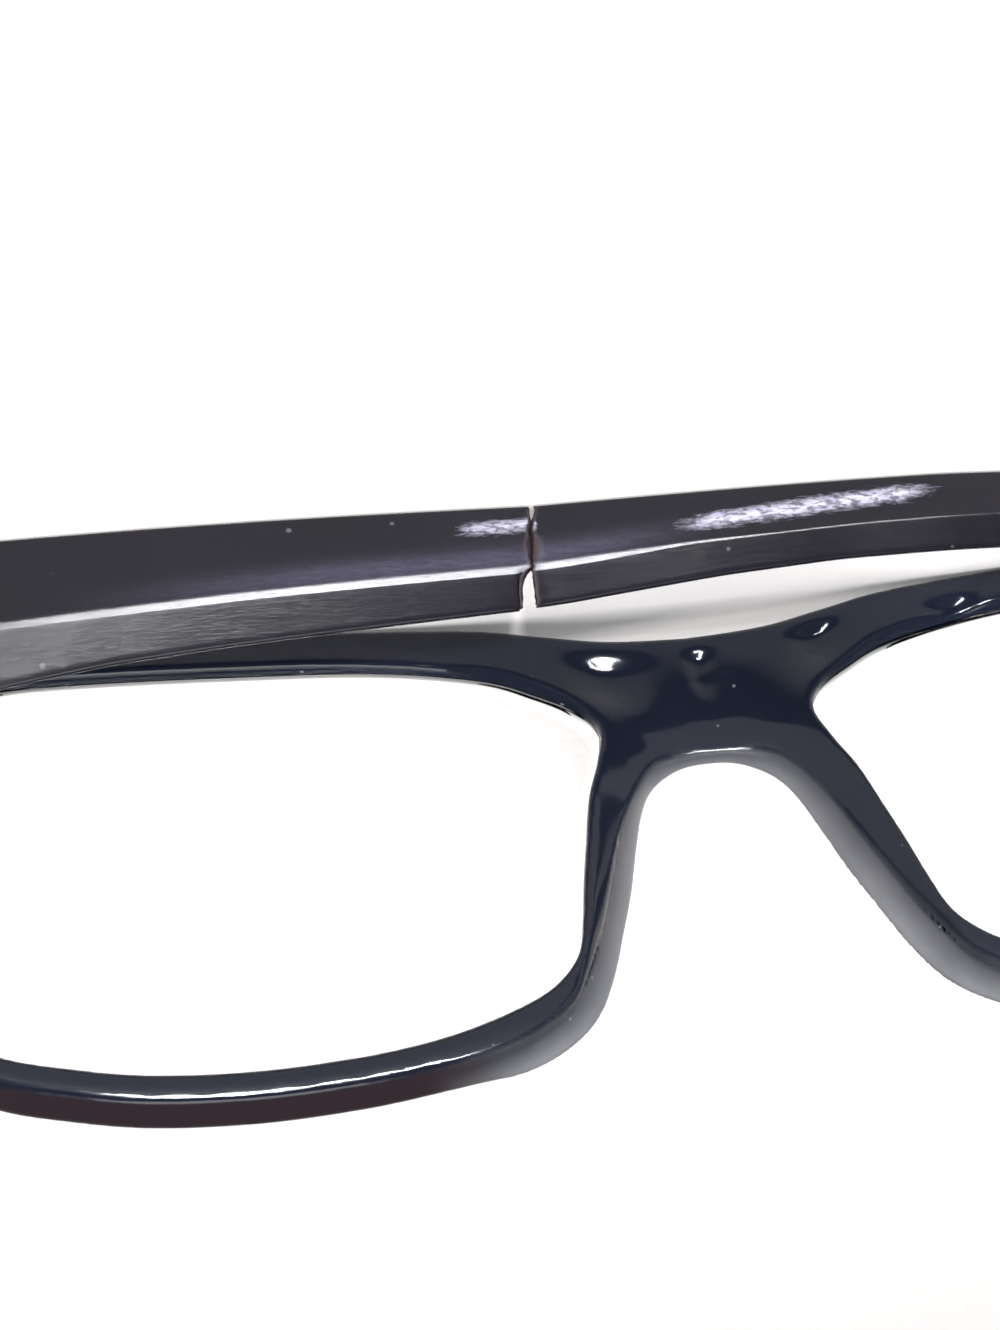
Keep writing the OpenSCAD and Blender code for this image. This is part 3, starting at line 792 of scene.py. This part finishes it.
sheen = add(tree, "ShaderNodeMapRange", {"Value": hairlines.outputs["Fac"], "From Min": 0.3, "From Max": 0.7,
                                         "To Min": 0.17, "To Max": 0.26})
rougher = add(tree, "ShaderNodeMix", {0: torn, 2: sheen.outputs[0], 3: 0.85})
fine = add(tree, "ShaderNodeMath", {0: hairlines.outputs["Fac"], 1: 0.5}, operation="MULTIPLY")
relief = add(tree, "ShaderNodeMix", {0: torn, 2: fine.outputs[0], 3: torn_grain.outputs["Fac"]})
surface = add(tree, "ShaderNodeBump", {"Strength": 0.35, "Distance": 0.00004, "Height": relief.outputs[0]})
plastic = add(tree, "ShaderNodeBsdfPrincipled", {
    "Base Color": colour_with_dust_and_painted_light.outputs[2], "Roughness": rougher.outputs[0], "IOR": 1.49, "Specular IOR Level": 0.24,
    "Normal": surface.outputs["Normal"]})
add(tree, "ShaderNodeOutputMaterial", {"Surface": plastic.outputs["BSDF"]})


def temple_piece(name, body, node, span, place, turn=0.0):
    """Makes a temple or a half of one; turn swings it a little about the break."""
    w, s, z, faces, masks = temple_mesh(*span)
    if turn:
        dw, ds = w - AXIS_IN, s - BREAK_AT
        w = AXIS_IN + dw * math.cos(turn) - ds * math.sin(turn)
        s = BREAK_AT + dw * math.sin(turn) + ds * math.cos(turn)
    made = make_piece(name, place(w, s, z), faces, masks)
    made.data.materials.append(satin_charcoal)
    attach(made, body)
    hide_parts(node)


temple_piece("left_temple_hinge_end", "left_temple", "left_temple_hinge_half",
             (BUTT, BREAK_AT, False, True), folded_left)
temple_piece("left_temple_ear_end", "left_temple", "left_temple_ear_half",
             (BREAK_AT, TEMPLE_LEN, True, False), folded_left, KINK)
temple_piece("right_temple_whole", "right_temple", "right_temple",
             (BUTT, TEMPLE_LEN, False, False), open_right)

# ---- Hinges ----
# Five-barrel hinges of nickel-plated steel: one leaf is pressed into the end piece, the other is
# riveted to the temple, and a slotted screw holds them. Stamped, tumbled and plated.
nickel, tree = new_material("nickel_plated_steel")
here = add(tree, "ShaderNodeTexCoord").outputs["Object"]
brushing = add(tree, "ShaderNodeMapping", {"Vector": here, "Scale": (1.0, 1.0, 9.0)})
lines = add(tree, "ShaderNodeTexNoise", {"Vector": brushing.outputs[0], "Scale": 700.0, "Detail": 4.0})
tarnish = add(tree, "ShaderNodeTexNoise", {"Vector": here, "Scale": 260.0, "Detail": 3.0})
metal_tone = add(tree, "ShaderNodeMix", {0: tarnish.outputs["Fac"], 6: linear("#9d978c"),
                                         7: linear("#d6d2c9")}, data_type="RGBA")
gloss = add(tree, "ShaderNodeMapRange", {"Value": lines.outputs["Fac"], "From Min": 0.3, "From Max": 0.7,
                                         "To Min": 0.2, "To Max": 0.42})
surface = add(tree, "ShaderNodeBump", {"Strength": 0.2, "Distance": 0.00002,
                                       "Height": lines.outputs["Fac"]})
steel = add(tree, "ShaderNodeBsdfPrincipled", {
    "Base Color": metal_tone.outputs[2], "Metallic": 1.0, "Roughness": gloss.outputs[0],
    "Normal": surface.outputs["Normal"]})
add(tree, "ShaderNodeOutputMaterial", {"Surface": steel.outputs["BSDF"]})

for name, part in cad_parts.items():
    if any(word in name for word in ("leaf", "screw", "rivet")):
        part.data.materials.clear()
        part.data.materials.append(nickel)

# ---- Table, light and camera ----
# A pale laminate table top, just under the glasses, in a plain white room.
# Low in front, a window and a strip show only in the gloss and a small key lamp only lights; a soft
# ceiling does both.
TABLE_DROP = 0.00005
bpy.ops.mesh.primitive_plane_add(size=8.0, location=(0, 0, -TABLE_DROP))
table_top = bpy.context.object
table_top.name = "table_top"
# Matt laminate with hardly any mottle. Far from the glasses a little glow keeps it pale, which lights
# nothing: only what is seen, mirrored or looked at through a lens has it.
pale_laminate, tree = new_material("pale_laminate")
here = add(tree, "ShaderNodeTexCoord").outputs["Object"]
mottle = add(tree, "ShaderNodeTexNoise", {"Vector": here, "Scale": 30.0, "Detail": 2.0})
pale_tone = add(tree, "ShaderNodeMix", {0: mottle.outputs["Fac"], 6: linear("#efeceb"),
                                        7: linear("#f3f1f1")}, data_type="RGBA")
laminate = add(tree, "ShaderNodeBsdfDiffuse", {"Color": pale_tone.outputs[2]})
off_centre = add(tree, "ShaderNodeVectorMath", {0: here}, operation="LENGTH")
far_glow = add(tree, "ShaderNodeMapRange", {"Value": off_centre.outputs["Value"], "From Min": 0.25,
                                            "From Max": 1.1, "To Min": 0.12, "To Max": 0.66})
glow = add(tree, "ShaderNodeEmission", {"Color": (1, 1, 1, 1), "Strength": far_glow.outputs[0]})
path = add(tree, "ShaderNodeLightPath")
looked_at = add(tree, "ShaderNodeMath", {0: path.outputs["Is Camera Ray"],
                                         1: path.outputs["Is Glossy Ray"]}, operation="MAXIMUM")
seen = add(tree, "ShaderNodeMath", {0: looked_at.outputs[0], 1: path.outputs["Is Transmission Ray"]},
           operation="MAXIMUM")
dark = add(tree, "ShaderNodeEmission", {"Color": (0, 0, 0, 1), "Strength": 0.0})
lit = add(tree, "ShaderNodeMixShader", {0: seen.outputs[0], 1: dark.outputs[0], 2: glow.outputs[0]})
both = add(tree, "ShaderNodeAddShader", {0: laminate.outputs[0], 1: lit.outputs[0]})
add(tree, "ShaderNodeOutputMaterial", {"Surface": both.outputs[0]})
table_top.data.materials.append(pale_laminate)

# The room is white to the eye, and dimmer overhead to gloss and lens
world = bpy.data.worlds.new("studio")
bpy.context.scene.world = world
world.use_nodes = True
tree = world.node_tree
tree.nodes.clear()
path = add(tree, "ShaderNodeLightPath")
way = add(tree, "ShaderNodeTexCoord").outputs["Generated"]
height = add(tree, "ShaderNodeSeparateXYZ", {0: way}).outputs["Z"]
above = add(tree, "ShaderNodeMapRange", {"Value": height, "From Min": 0.0, "From Max": 0.35,
                                         "To Min": 0.85, "To Max": 0.12})
mirrored = add(tree, "ShaderNodeMath", {0: path.outputs["Is Glossy Ray"],
                                        1: path.outputs["Is Transmission Ray"]}, operation="MAXIMUM")
unseen = add(tree, "ShaderNodeMix", {0: mirrored.outputs[0], 2: 0.37, 3: above.outputs[0]})
level = add(tree, "ShaderNodeMix", {0: path.outputs["Is Camera Ray"], 2: unseen.outputs[0], 3: 1.0})
sky = add(tree, "ShaderNodeBackground", {"Color": (1, 1, 1, 1), "Strength": level.outputs[0]})
add(tree, "ShaderNodeOutputWorld", {"Surface": sky.outputs[0]})


def lamp(name, place, towards, size, watts, colour):
    """A flat lamp at a place, in metres, that faces another."""
    data = bpy.data.lights.new(name, "AREA")
    data.shape = "RECTANGLE"
    data.size, data.size_y = size
    data.energy = watts
    data.color = linear(colour)[:3]
    made = bpy.data.objects.new(name, data)
    made.location = place
    aim = Vector(towards) - Vector(place)
    made.rotation_euler = aim.to_track_quat("-Z", "Y").to_euler()
    bpy.context.scene.collection.objects.link(made)
    return made


MIDDLE = (0, 0, 0.01)
window = lamp("window", (-0.105, -0.66, 0.1), MIDDLE, (0.27, 0.09), 11.0, "#fcfdff")
window.visible_diffuse = False
strip = lamp("strip", (-0.045, -0.64, 0.2), MIDDLE, (0.12, 0.09), 5.0, "#fcfdff")
strip.visible_diffuse = False
key = lamp("key", (0.06, -0.62, 0.285), MIDDLE, (0.04, 0.04), 4.0, "#fffdfa")
key.visible_glossy = False
lamp("ceiling", (0.0, -0.3, 0.9), (0, 0, 0), (0.5, 0.5), 6.0, "#ffffff")

camera_data = bpy.data.cameras.new("camera")
camera_data.sensor_width = 36.0
camera_data.lens = 70.08
camera_data.clip_start = 0.005
camera = bpy.data.objects.new("camera", camera_data)
camera.location = (0.040333, -0.149127, 0.107434)
camera.rotation_euler = (math.radians(-57.2003), math.radians(-8.9895), math.radians(-176.5692))
bpy.context.scene.collection.objects.link(camera)
bpy.context.scene.camera = camera
bpy.context.scene.view_settings.view_transform = "Standard"
